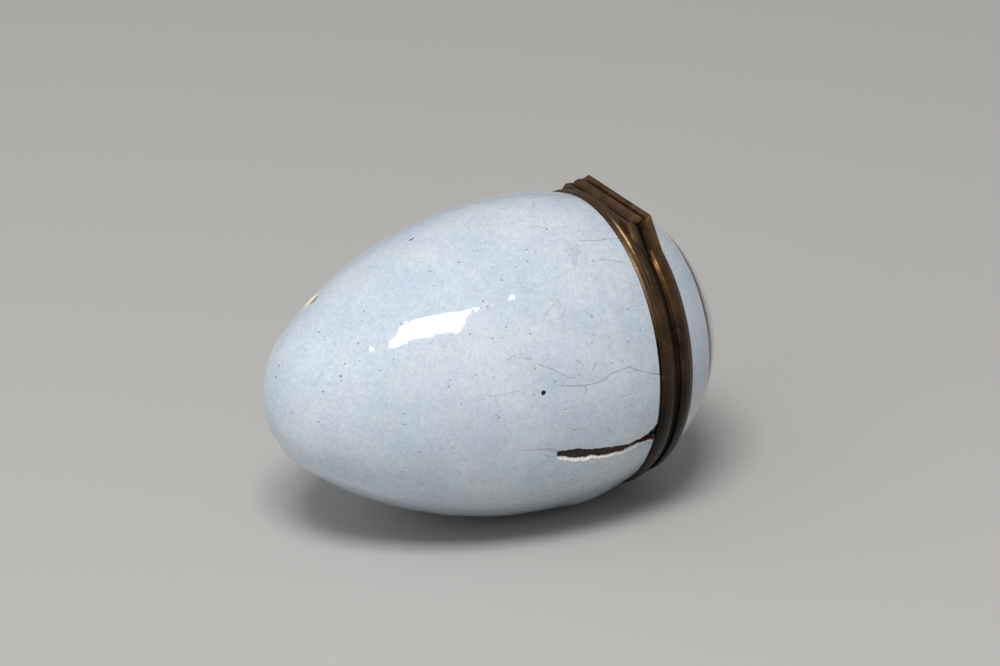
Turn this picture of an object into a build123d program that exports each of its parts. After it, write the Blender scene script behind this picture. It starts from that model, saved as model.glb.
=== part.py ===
from build123d import *
import os
from math import acos, asin, cos, pi, radians, sin, sqrt, tan

os.makedirs("parts", exist_ok=True)

# An egg-shaped enamelled box lying on its side, in millimetres.
# X runs along the egg towards the lid, Z is up, and the origin is the centre of the small worn
# flat that the belly rests on. x = 0 is also the egg's widest section. Heights written as a
# radius are measured from the egg's long axis.

# Outline of the egg
body_radius = 17.5         # at the widest section
body_length = 30.9         # widest section to the pointed tip
tip_radius = 10.2          # rounding of the pointed end
shoulder_radius = 28.0     # curve from the widest section to the mount
rest_depth = 0.12          # how deep the rest flat cuts into the belly
lid_rise = 11.44           # parting line to the top of the lid's dome
lid_step = 0.34            # the lid's rim stands this much outside the body's own curve

# Wall: enamel fired on both sides of a copper shell
enamel_wall = 0.5
copper_wall = 0.35
lining_wall = 0.25
layer_gap = 0.02

# Mount: a beaded metal moulding on each half
parting_x = 10.2
parting_gap = 0.1
body_strip_width = 2.6
lid_strip_width = 2.4
bead_rise = 0.32           # swell of each bead above a straight line between its edges
edge_step = 0.12           # each bead's outer edge stands this much proud of the enamel
groove_step = 0.1          # the beads meet this much outside the lid's curve
enamel_gap = 0.04          # between the enamel's edge and the bead
seat_gap = 0.04            # between the bead's underside and the copper
rim_gap = 0.05             # between the copper's rim and the metal it butts against

# Bezel: the thin collar that the lid closes over
collar_clearance = 0.65    # from the neck's lining to the collar
collar_wall = 0.35
collar_depth = 4.2         # how far it reaches back into the body from the parting line
collar_reach = 1.15        # how far it stands out of the body, into the lid
solder_gap = 0.02
lid_clearance = 0.1        # between the collar and the lid's moulding

# Hinge, straight across the top of the mount
hinge_offset = 0.3         # pin's centre, from the parting line towards the lid
knuckle_count = 5          # odd, so that the outer two are the body's
knuckle_radius = 0.95
knuckle_gap = 0.08         # between neighbours, along the pin
swing_clearance = 0.1      # around the knuckles
pin_radius = 0.40
pin_clearance = 0.04
barrel_half_length = 6.3
pin_end_gap = 0.05         # the pin is shorter than the barrel by this at each end
bar_wall = 0.45            # metal left on each side of the barrel
bar_cover = 0.25           # the bar's top above the knuckles
bar_half_length = 6.6      # at the top
bar_spread = 2.8           # how much wider the bar's foot is, at each end
bar_bite = 0.2             # how deep the foot's end sits in the bead
leaf_half_height = 0.6     # the strap that joins each knuckle to its bar
valley_angle = 38.0        # slope of the bar's top towards the pin, which lets the lid swing

# Thumb lip, under the lid's edge and opposite the hinge
lip_radius = 3.2
lip_proud = 1.0
lip_width = 1.2

# The egg's curves, worked out from the sizes above
axis_z = body_radius - rest_depth
flank_radius = ((body_length - tip_radius) ** 2 + body_radius**2 - tip_radius**2) / (
    2 * (body_radius - tip_radius)
)
tip_centre = tip_radius - body_length
join_angle = pi - asin((flank_radius - body_radius) / (flank_radius - tip_radius))


def body_curve(x, inset):
    """Radius of the shoulder at x, this far inside the outer surface."""
    return body_radius - shoulder_radius + sqrt((shoulder_radius - inset) ** 2 - x**2)


lid_rim_radius = body_curve(parting_x, 0) + lid_step
lid_radius = (lid_rim_radius**2 + lid_rise**2) / (2 * lid_rise)
lid_centre = parting_x + lid_rise - lid_radius


def lid_curve(x, inset):
    """Radius of the lid at x, this far inside the outer surface."""
    return sqrt((lid_radius - inset) ** 2 - (x - lid_centre) ** 2)


copper_inset = enamel_wall + layer_gap
lining_inset = copper_inset + copper_wall + layer_gap
hollow_inset = lining_inset + lining_wall

# Where the hinge bars and the rims of the two walls stand along the egg
hinge_x = parting_x + hinge_offset
channel_half_width = knuckle_radius + swing_clearance
bar_half_width = channel_half_width + bar_wall
body_web_x = hinge_x - bar_half_width
lid_web_x = hinge_x + bar_half_width
body_rim_x = body_web_x - rim_gap
lid_rim_x = lid_web_x + rim_gap
body_strip_x = parting_x - body_strip_width
lid_strip_x = parting_x + lid_strip_width
groove_radius = lid_rim_radius + groove_step

# How the collar, the hinge and the bar stack up, out from the egg's axis
collar_radius = body_curve(body_rim_x, hollow_inset) - collar_clearance
body_web_radius = collar_radius + solder_gap
lid_web_radius = collar_radius + lid_clearance
hinge_radius = collar_radius + swing_clearance + knuckle_radius
bar_radius = hinge_radius + knuckle_radius + bar_cover
hinge_z = axis_z + hinge_radius
channel_half_length = barrel_half_length + swing_clearance
bar_foot_y = bar_half_length + bar_spread
bar_foot_radius = sqrt((groove_radius - bar_bite) ** 2 - bar_foot_y**2)
bar_inside_radius = bar_foot_radius / 2
far = 2 * body_radius


def spot(x, r):
    """A point above the egg's axis."""
    return Vector(x, 0, axis_z + r)


def arc(centre_x, centre_r, radius, start, end):
    """An arc in the plane of the egg's axis, its angles counted from +X upwards."""
    angles = (start, (start + end) / 2, end)
    return ThreePointArc(*[spot(centre_x + radius * cos(a), centre_r + radius * sin(a)) for a in angles])


def turned(edges):
    """The solid that a closed outline sweeps about the egg's axis."""
    return revolve(Face(Wire(edges)), Axis((0, 0, axis_z), (1, 0, 0)), 360)


def tube(radius, x_from, x_to):
    """A cylinder about the egg's axis."""
    disc = Plane((x_from, 0, axis_z), z_dir=(1, 0, 0)) * Circle(radius)
    return extrude(disc, x_to - x_from)


def prism_along_x(points, x_from, x_to):
    """A prism along the egg, from points given as sideways place and radius."""
    outline = [Vector(x_from, y, axis_z + r) for y, r in points]
    face = Face(Wire.make_polygon(outline))
    return extrude(face, x_to - x_from, dir=(1, 0, 0))


def prism_along_y(points, half_length):
    """A prism across the egg, from points given as place along it and radius."""
    outline = [Vector(x, -half_length, axis_z + r) for x, r in points]
    face = Face(Wire.make_polygon(outline))
    return extrude(face, 2 * half_length, dir=(0, 1, 0))


def body_layer(outer, inner, end_x):
    """A layer of the body's wall between two insets, open at end_x."""
    curves = []
    for inset in (outer, inner):
        side = shoulder_radius - inset
        curves.append(arc(tip_centre, 0, tip_radius - inset, pi, join_angle))
        curves.append(arc(0, body_radius - flank_radius, flank_radius - inset, join_angle, pi / 2))
        curves.append(arc(0, body_radius - shoulder_radius, side, pi / 2, acos(end_x / side)))
    rim = Line(spot(end_x, body_curve(end_x, outer)), spot(end_x, body_curve(end_x, inner)))
    tip = Line(spot(outer - body_length, 0), spot(inner - body_length, 0))
    return turned(curves + [rim, tip])


def lid_layer(outer, inner, start_x):
    """A layer of the lid's wall between two insets, open at start_x."""
    curves = []
    for inset in (outer, inner):
        radius = lid_radius - inset
        curves.append(arc(lid_centre, 0, radius, acos((start_x - lid_centre) / radius), 0))
    rim = Line(spot(start_x, lid_curve(start_x, outer)), spot(start_x, lid_curve(start_x, inner)))
    crown_x = lid_centre + lid_radius
    crown = Line(spot(crown_x - outer, 0), spot(crown_x - inner, 0))
    return turned(curves + [rim, crown])


def moulding(edge_x, edge_radius, seat_radius, web_x, web_seat_radius, web_radius, parting):
    """A ring with a swelling bead outside and a flat web that closes off the wall's rim."""
    middle_x = (edge_x + parting) / 2
    crest = (edge_radius + groove_radius) / 2 + bead_rise
    corners = [
        spot(edge_x, edge_radius),
        spot(edge_x, seat_radius),
        spot(web_x, web_seat_radius),
        spot(web_x, web_radius),
        spot(parting, web_radius),
        spot(parting, groove_radius),
    ]
    edges = [Line(a, b) for a, b in zip(corners, corners[1:])]
    edges.append(ThreePointArc(corners[-1], spot(middle_x, crest), corners[0]))
    return turned(edges)


def bar_outline(top):
    """The hinge bar seen along the egg, with its upper part carried up to a given radius."""
    side = [
        (bar_foot_y, bar_inside_radius),
        (bar_foot_y, bar_foot_radius),
        (bar_half_length, bar_radius),
    ]
    if top > bar_radius:
        side.append((bar_half_length, top))
    return side + [(-y, r) for y, r in reversed(side)]


def hinge_bar(x_from, x_to, inside_radius):
    """One half of the bar, hollowed for the barrel and resting over the collar."""
    bar = prism_along_x(bar_outline(bar_radius), x_from, x_to)
    bar -= tube(inside_radius, x_from - 1, x_to + 1)
    return bar - barrel_channel() - valley()


def barrel_channel():
    """The room that the knuckles turn in."""
    low = hinge_radius - channel_half_width
    left = hinge_x - channel_half_width
    right = hinge_x + channel_half_width
    points = [(left, low), (right, low), (right, bar_radius + 1), (left, bar_radius + 1)]
    return prism_along_y(points, channel_half_length)


def valley():
    """The wedge above the pin that stays empty while the lid swings."""
    reach = 2 * body_strip_width
    rise = reach * tan(radians(valley_angle))
    points = [
        (hinge_x, hinge_radius),
        (hinge_x + reach, hinge_radius + rise),
        (hinge_x - reach, hinge_radius + rise),
    ]
    return prism_along_y(points, bar_foot_y)


def knuckle(number, side):
    """One knuckle with the strap that joins it to its own half: side -1 the body, +1 the lid."""
    length = (2 * barrel_half_length + knuckle_gap) / knuckle_count - knuckle_gap
    low_y = -barrel_half_length + number * (length + knuckle_gap)
    across = Plane((hinge_x, low_y, hinge_z), x_dir=(1, 0, 0), z_dir=(0, 1, 0))
    strap_width = channel_half_width
    strap = Pos(side * strap_width / 2, 0) * Rectangle(strap_width, 2 * leaf_half_height)
    bore = Circle(pin_radius + pin_clearance)
    return extrude(across * (Circle(knuckle_radius) + strap - bore), length)


def body_outer_enamel():
    shell = body_layer(0, enamel_wall, body_strip_x - enamel_gap)
    floor = Pos(0, 0, -far / 2) * Box(far, far, far)
    return shell - floor


def body_copper_shell():
    return body_layer(copper_inset, copper_inset + copper_wall, body_rim_x)


def body_counter_enamel():
    return body_layer(lining_inset, hollow_inset, body_rim_x)


def body_mount_moulding():
    ring = moulding(
        edge_x=body_strip_x,
        edge_radius=body_curve(body_strip_x, 0) + edge_step,
        seat_radius=body_curve(body_strip_x, copper_inset) + seat_gap,
        web_x=body_web_x,
        web_seat_radius=body_curve(body_web_x, copper_inset) + seat_gap,
        web_radius=body_web_radius,
        parting=parting_x - parting_gap / 2,
    )
    notch = prism_along_x(bar_outline(far), body_web_x, parting_x)
    return ring - notch - valley()


def body_bezel_collar():
    start_x = parting_x - collar_depth
    end_x = parting_x + collar_reach
    return tube(collar_radius, start_x, end_x) - tube(collar_radius - collar_wall, start_x, end_x)


def body_hinge_bar():
    return hinge_bar(body_web_x, parting_x - parting_gap / 2, body_web_radius)


def hinge_pin():
    half_length = barrel_half_length - pin_end_gap
    end = Plane((hinge_x, -half_length, hinge_z), x_dir=(1, 0, 0), z_dir=(0, 1, 0))
    return extrude(end * Circle(pin_radius), 2 * half_length)


def lid_outer_enamel():
    return lid_layer(0, enamel_wall, lid_strip_x + enamel_gap)


def lid_copper_shell():
    return lid_layer(copper_inset, copper_inset + copper_wall, lid_rim_x)


def lid_counter_enamel():
    return lid_layer(lining_inset, hollow_inset, lid_rim_x)


def lid_mount_moulding():
    edge_radius = lid_curve(lid_strip_x, 0) + edge_step
    ring = moulding(
        edge_x=lid_strip_x,
        edge_radius=edge_radius,
        seat_radius=lid_curve(lid_strip_x, copper_inset) + seat_gap,
        web_x=lid_web_x,
        web_seat_radius=lid_curve(lid_web_x, copper_inset) + seat_gap,
        web_radius=lid_web_radius,
        parting=parting_x + parting_gap / 2,
    )
    notch = prism_along_x(bar_outline(far), parting_x, lid_web_x)
    return ring + thumb_lip(edge_radius) - notch - valley()


def thumb_lip(edge_radius):
    """A small rounded tab under the bead, cut off inside it where the collar passes."""
    crest = (edge_radius + groove_radius) / 2 + bead_rise
    middle_x = parting_x + lid_strip_width / 2
    centre_z = axis_z - crest - lip_proud + lip_radius
    face = Plane((middle_x - lip_width / 2, 0, centre_z), z_dir=(1, 0, 0)) * Circle(lip_radius)
    tab = extrude(face, lip_width)
    bead_floor = (groove_radius + lid_web_radius) / 2
    return tab - tube(bead_floor, middle_x - lip_width, middle_x + lip_width)


def lid_hinge_bar():
    return hinge_bar(parting_x + parting_gap / 2, lid_web_x, lid_web_radius)


pieces = {
    "body_outer_enamel": body_outer_enamel(),
    "body_copper_shell": body_copper_shell(),
    "body_counter_enamel": body_counter_enamel(),
    "body_mount_moulding": body_mount_moulding(),
    "body_bezel_collar": body_bezel_collar(),
    "body_hinge_bar": body_hinge_bar(),
    "hinge_pin": hinge_pin(),
    "lid_outer_enamel": lid_outer_enamel(),
    "lid_copper_shell": lid_copper_shell(),
    "lid_counter_enamel": lid_counter_enamel(),
    "lid_mount_moulding": lid_mount_moulding(),
    "lid_hinge_bar": lid_hinge_bar(),
}
for number in range(knuckle_count):
    half = "lid" if number % 2 else "body"
    pieces[f"{half}_knuckle_{number // 2 + 1}"] = knuckle(number, 1 if half == "lid" else -1)

for name, piece in pieces.items():
    export_step(piece, f"parts/{name}.step")

print("flank radius", round(flank_radius, 3), "lid radius", round(lid_radius, 3))
print("hinge at", round(hinge_x, 3), round(hinge_z, 3), "axis height", round(axis_z, 3))
print("length", round(body_length + parting_x + lid_rise, 2))
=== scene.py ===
import bmesh
import bpy
import math
import numpy as np
from mathutils import Matrix, Vector, noise


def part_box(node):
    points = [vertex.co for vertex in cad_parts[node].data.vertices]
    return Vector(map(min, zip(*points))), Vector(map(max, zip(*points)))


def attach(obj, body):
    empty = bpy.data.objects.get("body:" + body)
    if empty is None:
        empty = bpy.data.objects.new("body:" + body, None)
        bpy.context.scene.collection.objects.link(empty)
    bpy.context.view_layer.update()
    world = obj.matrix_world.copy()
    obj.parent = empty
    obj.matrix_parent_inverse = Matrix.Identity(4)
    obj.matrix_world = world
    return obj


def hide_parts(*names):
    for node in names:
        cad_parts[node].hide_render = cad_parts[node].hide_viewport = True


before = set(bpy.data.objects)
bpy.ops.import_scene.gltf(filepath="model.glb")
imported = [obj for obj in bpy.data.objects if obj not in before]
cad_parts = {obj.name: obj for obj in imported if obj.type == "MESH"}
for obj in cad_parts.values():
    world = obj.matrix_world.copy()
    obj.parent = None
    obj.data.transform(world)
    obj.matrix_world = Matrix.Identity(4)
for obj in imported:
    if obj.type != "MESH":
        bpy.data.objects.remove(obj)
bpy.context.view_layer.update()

# An egg-shaped enamelled box on its side: X runs along the egg to its lid, Z is up, metres.
# Angles round the egg are counted in degrees from its top, towards -Y.

mm = 0.001
bodyLow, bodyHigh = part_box("body_outer_enamel")
lidLow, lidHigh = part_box("lid_outer_enamel")
pinLow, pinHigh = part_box("hinge_pin")

egg = {
    "radius": 17.5 * mm,
    "tipRadius": 10.2 * mm,
    "shoulderRadius": 28.0 * mm,
    "lidRadius": 16.792 * mm,
    "axisHeight": 17.38 * mm,
}
tipX = bodyLow.x
bodyEdgeX = bodyHigh.x
lidEdgeX = lidLow.x
crownX = lidHigh.x
axisHeight = egg["axisHeight"]
tipCentre = tipX + egg["tipRadius"]
flankRadius = (tipCentre**2 + egg["radius"] ** 2 - egg["tipRadius"] ** 2) / (
    2 * (egg["radius"] - egg["tipRadius"])
)
joinAngle = math.pi - math.asin((flankRadius - egg["radius"]) / (flankRadius - egg["tipRadius"]))
lidCentre = crownX - egg["lidRadius"]
hinge = (pinLow + pinHigh) / 2


# Node helpers

def addNode(tree, kind, sockets=None, **settings):
    made = tree.nodes.new(kind)
    for name, value in settings.items():
        setattr(made, name, value)
    for name, value in (sockets or {}).items():
        if isinstance(value, bpy.types.NodeSocket):
            tree.links.new(value, made.inputs[name])
        else:
            made.inputs[name].default_value = value
    return made


def calc(tree, operation, first, second=0.0, clamp=False):
    sockets = {0: first, 1: second}
    return addNode(tree, "ShaderNodeMath", sockets, operation=operation, use_clamp=clamp).outputs[0]


def times(tree, first, second):
    return calc(tree, "MULTIPLY", first, second)


def blendColour(tree, factor, first, second, mode="MIX"):
    sockets = {0: factor, 6: first, 7: second}
    made = addNode(tree, "ShaderNodeMix", sockets, data_type="RGBA", blend_type=mode)
    return made.outputs[2]


def fade(tree, value, low, high, toLow=0.0, toHigh=1.0):
    sockets = {"Value": value, "From Min": low, "From Max": high, "To Min": toLow, "To Max": toHigh}
    return addNode(tree, "ShaderNodeMapRange", sockets).outputs["Result"]


def noiseValue(tree, vector, scale, detail=2.0, roughness=0.5):
    sockets = {"Vector": vector, "Scale": scale, "Detail": detail, "Roughness": roughness}
    return addNode(tree, "ShaderNodeTexNoise", sockets).outputs["Fac"]


def stretch(tree, vector, x, y, z):
    return addNode(tree, "ShaderNodeMapping", {"Vector": vector, "Scale": (x, y, z)}).outputs[0]


def bump(tree, height, distance, strength=1.0):
    sockets = {"Height": height, "Distance": distance, "Strength": strength}
    return addNode(tree, "ShaderNodeBump", sockets).outputs["Normal"]


def readMark(tree, name):
    return addNode(tree, "ShaderNodeAttribute", attribute_name=name).outputs["Fac"]


def newGroup(name, inputs, outputs):
    tree = bpy.data.node_groups.new(name, "ShaderNodeTree")
    for label, default in inputs.items():
        kind = "NodeSocketVector" if default is None else "NodeSocketFloat"
        socket = tree.interface.new_socket(label, in_out="INPUT", socket_type=kind)
        if default is not None:
            socket.default_value = default
    for label in outputs:
        tree.interface.new_socket(label, in_out="OUTPUT", socket_type="NodeSocketFloat")
    return tree, addNode(tree, "NodeGroupInput").outputs, addNode(tree, "NodeGroupOutput")


def useGroup(tree, group, sockets):
    return addNode(tree, "ShaderNodeGroup", sockets, node_tree=group).outputs


def newMaterial(name, roughness, metallic=0.0, ior=1.5):
    material = bpy.data.materials.new(name)
    material.use_nodes = True
    tree = material.node_tree
    shader = tree.nodes["Principled BSDF"]
    shader.inputs["Roughness"].default_value = roughness
    shader.inputs["Metallic"].default_value = metallic
    shader.inputs["IOR"].default_value = ior
    place = addNode(tree, "ShaderNodeTexCoord").outputs["Object"]
    return material, tree, shader, place


# Effects that several finishes share

def makePinholes():
    # small round dots, one in a share of the cells of a fine net
    tree, given, out = newGroup(
        "pinholes", {"Vector": None, "Scale": 900.0, "Size": 0.1, "Share": 0.1}, ["Mask"]
    )
    cells = addNode(tree, "ShaderNodeTexVoronoi", {"Vector": given["Vector"], "Scale": given["Scale"]})
    pick = addNode(tree, "ShaderNodeSeparateColor", {"Color": cells.outputs["Color"]}).outputs
    size = times(tree, given["Size"], calc(tree, "ADD", pick["Green"], 0.45))
    inside = fade(tree, calc(tree, "SUBTRACT", size, cells.outputs["Distance"]), 0.0, 0.04)
    chosen = calc(tree, "LESS_THAN", pick["Red"], given["Share"])
    tree.links.new(times(tree, inside, chosen), out.inputs["Mask"])
    return tree


def makeScratches():
    # fine broken lines: the borders of a net of cells, kept only in a few places
    tree, given, out = newGroup(
        "scratches", {"Vector": None, "Scale": 300.0, "Width": 0.02, "Share": 0.4}, ["Mask"]
    )
    wobble = addNode(tree, "ShaderNodeTexNoise", {"Vector": given["Vector"], "Scale": 420.0})
    moved = addNode(
        tree, "ShaderNodeVectorMath", {0: wobble.outputs["Color"], "Scale": 0.0016}, operation="SCALE"
    )
    warped = addNode(
        tree, "ShaderNodeVectorMath", {0: given["Vector"], 1: moved.outputs[0]}, operation="ADD"
    )
    sockets = {"Vector": warped.outputs[0], "Scale": given["Scale"]}
    net = addNode(tree, "ShaderNodeTexVoronoi", sockets, feature="DISTANCE_TO_EDGE")
    line = fade(tree, calc(tree, "SUBTRACT", given["Width"], net.outputs["Distance"]), 0.0, 0.012)
    patch = noiseValue(tree, given["Vector"], 650.0, 1.0)
    kept = fade(tree, calc(tree, "ADD", patch, given["Share"]), 0.98, 1.04)
    tree.links.new(times(tree, line, kept), out.inputs["Mask"])
    return tree


def makeMottle():
    # clouds of two sizes, as glaze has where it pooled in firing
    tree, given, out = newGroup(
        "mottle", {"Vector": None, "Broad": 120.0, "Fine": 900.0}, ["Value", "Grain"]
    )
    broad = noiseValue(tree, given["Vector"], given["Broad"], 3.0)
    fine = noiseValue(tree, given["Vector"], given["Fine"], 2.0, 0.6)
    mixed = calc(tree, "ADD", times(tree, broad, 0.65), times(tree, fine, 0.35))
    tree.links.new(mixed, out.inputs["Value"])
    tree.links.new(fine, out.inputs["Grain"])
    return tree


def makeDrawnLines():
    # lines left along a strip of metal by the die it was drawn through
    tree, given, out = newGroup("drawnLines", {"Vector": None, "Scale": 1.0}, ["Value"])
    streaks = stretch(tree, given["Vector"], 9000.0, 220.0, 220.0)
    value = noiseValue(tree, streaks, given["Scale"], 3.0, 0.6)
    tree.links.new(value, out.inputs["Value"])
    return tree


pinholes = makePinholes()
scratches = makeScratches()
mottle = makeMottle()
drawnLines = makeDrawnLines()


# Finishes

enamelFinish = {
    "blue": (0.515, 0.605, 0.71, 1.0),
    "pale": (0.625, 0.695, 0.765, 1.0),
    "warm": (0.66, 0.665, 0.67, 1.0),
    "speck": (0.07, 0.065, 0.075, 1.0),
    "dirt": (0.33, 0.29, 0.25, 1.0),
    # the next colour is painted shade on the body's lower glaze; lilac is painted shade on the lower lid
    "paintedShade": (0.16, 0.17, 0.20, 1.0),
    "lilacShade": (0.22, 0.21, 0.27, 1.0),
    "ground": (0.93, 0.86, 0.80, 1.0),
    "cream": (0.78, 0.69, 0.50, 1.0),
    "bare": (0.085, 0.025, 0.013, 1.0),
    "stain": (0.02, 0.012, 0.01, 1.0),
    # the next colour is a painted shadow, for the crack's upper wall and the pits
    "pitShadow": (0.010, 0.006, 0.005, 1.0),
    "hair": (0.19, 0.165, 0.15, 1.0),
    "roughness": 0.04,
    # sizes of the glaze's clouds and grain, as noise scales
    "broad": 140.0,
    "fine": 1100.0,
    "tint": 330.0,
    "grain": 2600.0,
    "ripple": 520.0,
    "relief": 0.012 * mm,
    # dots in the glaze: scale, size, share of the cells and darkness
    "smallDots": (1150.0, 0.11, 0.26, 0.42),
    "largeDots": (500.0, 0.075, 0.17, 0.8),
    "flecks": (420.0, 0.11, 0.13, 0.42),
    "strokes": (1.0, 2.6, 2.6),
    # fine scratches: scale, width and share
    "scratches": (430.0, 0.018, 0.46),
}


def dotsOf(tree, vector, kind):
    scale, size, share, darkness = enamelFinish[kind]
    sockets = {"Vector": vector, "Scale": scale, "Size": size, "Share": share}
    return times(tree, useGroup(tree, pinholes, sockets)["Mask"], darkness)


def enamelColour(tree, place):
    sockets = {"Vector": place, "Broad": enamelFinish["broad"], "Fine": enamelFinish["fine"]}
    spots = useGroup(tree, mottle, sockets)
    cloudy = fade(tree, spots["Value"], 0.38, 0.62)
    glaze = blendColour(tree, cloudy, enamelFinish["blue"], enamelFinish["pale"])
    tint = fade(tree, noiseValue(tree, place, enamelFinish["tint"], 3.0, 0.6), 0.48, 0.72)
    glaze = blendColour(tree, times(tree, tint, 0.30), glaze, enamelFinish["warm"])
    grainy = noiseValue(tree, place, enamelFinish["grain"], 2.0, 0.7)
    grainy = fade(tree, grainy, 0.30, 0.70, 0.88, 1.06)
    glaze = blendColour(tree, 1.0, glaze, grainy, "MULTIPLY")
    dots = calc(tree, "MAXIMUM", dotsOf(tree, place, "smallDots"), dotsOf(tree, place, "largeDots"))
    return blendColour(tree, dots, glaze, enamelFinish["speck"]), spots


def makeBodyEnamel():
    material, tree, shader, place = newMaterial("bodyEnamel", enamelFinish["roughness"])
    colour, spots = enamelColour(tree, place)
    parts = addNode(tree, "ShaderNodeSeparateXYZ", {"Vector": place}).outputs
    nearMount = fade(tree, parts["X"], -14 * mm, 2 * mm)
    # painted shade: the glaze is darkened towards the bottom, and low down beside the mount
    shadeBelow = fade(tree, parts["Z"], 0.5 * mm, 9.5 * mm, 0.78, 0.0)
    lowDown = fade(tree, parts["Z"], 22 * mm, 6 * mm)
    shadeBesideMount = times(tree, fade(tree, parts["X"], 3.5 * mm, 8 * mm), lowDown)
    shadeBelow = calc(tree, "ADD", shadeBelow, times(tree, shadeBesideMount, 0.22), clamp=True)
    colour = blendColour(tree, shadeBelow, colour, enamelFinish["paintedShade"])
    scale, width, share = enamelFinish["scratches"]
    sockets = {"Vector": place, "Scale": scale, "Width": width, "Share": share}
    lines = useGroup(tree, scratches, sockets)["Mask"]
    worn = times(tree, lines, fade(tree, parts["X"], -16 * mm, 2 * mm, 0.06, 0.32))
    fleck = dotsOf(tree, stretch(tree, place, *enamelFinish["strokes"]), "flecks")
    colour = blendColour(tree, fleck, colour, enamelFinish["speck"])
    colour = blendColour(tree, worn, colour, enamelFinish["dirt"])
    smudge = fade(tree, noiseValue(tree, place, 420.0, 3.0), 0.62, 0.72)
    smudge = times(tree, smudge, times(tree, nearMount, 0.22))
    colour = blendColour(tree, smudge, colour, enamelFinish["dirt"])
    for mark, tone in (("line", "hair"), ("speck", "speck")):
        colour = blendColour(tree, readMark(tree, mark), colour, enamelFinish[tone])
    nearTip = fade(tree, parts["X"], -20 * mm, -22 * mm)
    paste = blendColour(tree, nearTip, enamelFinish["ground"], enamelFinish["cream"])
    colour = blendColour(tree, readMark(tree, "ground"), colour, paste)
    stained = fade(tree, noiseValue(tree, place, 1500.0, 3.0), 0.4, 0.65)
    rust = blendColour(tree, stained, enamelFinish["bare"], enamelFinish["stain"])
    # painted shadow: the shade mark darkens the bare metal of the crack's upper wall and of the pits nearly
    # to black
    rust = blendColour(tree, readMark(tree, "shade"), rust, enamelFinish["pitShadow"])
    colour = blendColour(tree, readMark(tree, "bare"), colour, rust)
    tree.links.new(colour, shader.inputs["Base Color"])
    broken = calc(tree, "MAXIMUM", readMark(tree, "ground"), readMark(tree, "bare"))
    broken = calc(tree, "MAXIMUM", broken, times(tree, readMark(tree, "line"), 0.5))
    smeared = fade(tree, noiseValue(tree, place, 260.0, 2.0), 0.45, 0.75, 0.03, 0.06)
    rough = calc(tree, "ADD", smeared, times(tree, broken, 0.6), clamp=True)
    tree.links.new(rough, shader.inputs["Roughness"])
    ripple = times(tree, noiseValue(tree, place, enamelFinish["ripple"], 1.0), 3.0)
    grain = calc(tree, "ADD", spots["Grain"], ripple)
    height = calc(tree, "SUBTRACT", grain, times(tree, worn, 1.2))
    tree.links.new(bump(tree, height, enamelFinish["relief"], 0.7), shader.inputs["Normal"])
    return material


lidLines = {
    "bold": 16.78 * mm,       # place along the egg of the painted black circle
    "boldHalf": 0.27 * mm,
    "fine": 17.32 * mm,
    "fineHalf": 0.13 * mm,
    "lean": 0.18 * mm,        # how much nearer the mount both circles are at the top
    "black": (0.012, 0.013, 0.016, 1.0),
    "crown": (0.72, 0.72, 0.71, 1.0),
}


def circleLine(tree, along, place, half):
    off = calc(tree, "ABSOLUTE", calc(tree, "SUBTRACT", along, place))
    return fade(tree, off, half, half + 0.05 * mm, 1.0, 0.0)


def makeLidEnamel():
    material, tree, shader, place = newMaterial("lidEnamel", enamelFinish["roughness"])
    colour, spots = enamelColour(tree, place)
    parts = addNode(tree, "ShaderNodeSeparateXYZ", {"Vector": place}).outputs
    along, height = parts["X"], parts["Z"]
    # painted shade: the lid's glaze is darker and more lilac towards the bottom
    shadeBelow = fade(tree, height, 4 * mm, 26 * mm, 0.26, 0.04)
    colour = blendColour(tree, shadeBelow, colour, enamelFinish["lilacShade"])
    drift = times(tree, calc(tree, "SUBTRACT", spots["Value"], 0.5), 0.25 * mm)
    along = calc(tree, "ADD", along, drift)
    along = calc(tree, "ADD", along, fade(tree, height, 21 * mm, 33 * mm, 0.0, lidLines["lean"]))
    bold = circleLine(tree, along, lidLines["bold"], lidLines["boldHalf"])
    fine = times(tree, circleLine(tree, along, lidLines["fine"], lidLines["fineHalf"]), 0.7)
    paler = fade(tree, along, lidLines["bold"], lidLines["bold"] + 0.1 * mm)
    colour = blendColour(tree, times(tree, paler, 0.6), colour, lidLines["crown"])
    colour = blendColour(tree, calc(tree, "MAXIMUM", bold, fine), colour, lidLines["black"])
    tree.links.new(colour, shader.inputs["Base Color"])
    tree.links.new(bump(tree, spots["Grain"], enamelFinish["relief"], 0.6), shader.inputs["Normal"])
    return material


liningFinish = {
    "cream": (0.63, 0.60, 0.53, 1.0),
    "white": (0.76, 0.74, 0.69, 1.0),
    "dot": (0.05, 0.045, 0.04, 1.0),
    "stain": (0.38, 0.30, 0.20, 1.0),
    "broad": 200.0,
    "fine": 1200.0,
    "dots": 700.0,
    "stains": 160.0,
}
copperFinish = {
    "dark": (0.035, 0.014, 0.009, 1.0),
    "red": (0.14, 0.045, 0.02, 1.0),
    "broad": 500.0,
    "fine": 2000.0,
}
pinFinish = {"grey": (0.20, 0.17, 0.14, 1.0), "rust": (0.09, 0.05, 0.03, 1.0), "cloud": 1500.0}


def makeLining():
    material, tree, shader, place = newMaterial("whiteLining", 0.16)
    sockets = {"Vector": place, "Broad": liningFinish["broad"], "Fine": liningFinish["fine"]}
    spots = useGroup(tree, mottle, sockets)
    cloudy = fade(tree, spots["Value"], 0.36, 0.64)
    colour = blendColour(tree, cloudy, liningFinish["cream"], liningFinish["white"])
    sockets = {"Vector": place, "Scale": liningFinish["dots"], "Size": 0.12, "Share": 0.3}
    dots = useGroup(tree, pinholes, sockets)["Mask"]
    colour = blendColour(tree, times(tree, dots, 0.8), colour, liningFinish["dot"])
    stain = fade(tree, noiseValue(tree, place, liningFinish["stains"], 4.0), 0.55, 0.75)
    colour = blendColour(tree, times(tree, stain, 0.35), colour, liningFinish["stain"])
    tree.links.new(colour, shader.inputs["Base Color"])
    tree.links.new(bump(tree, spots["Grain"], 0.02 * mm, 0.7), shader.inputs["Normal"])
    return material


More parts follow.
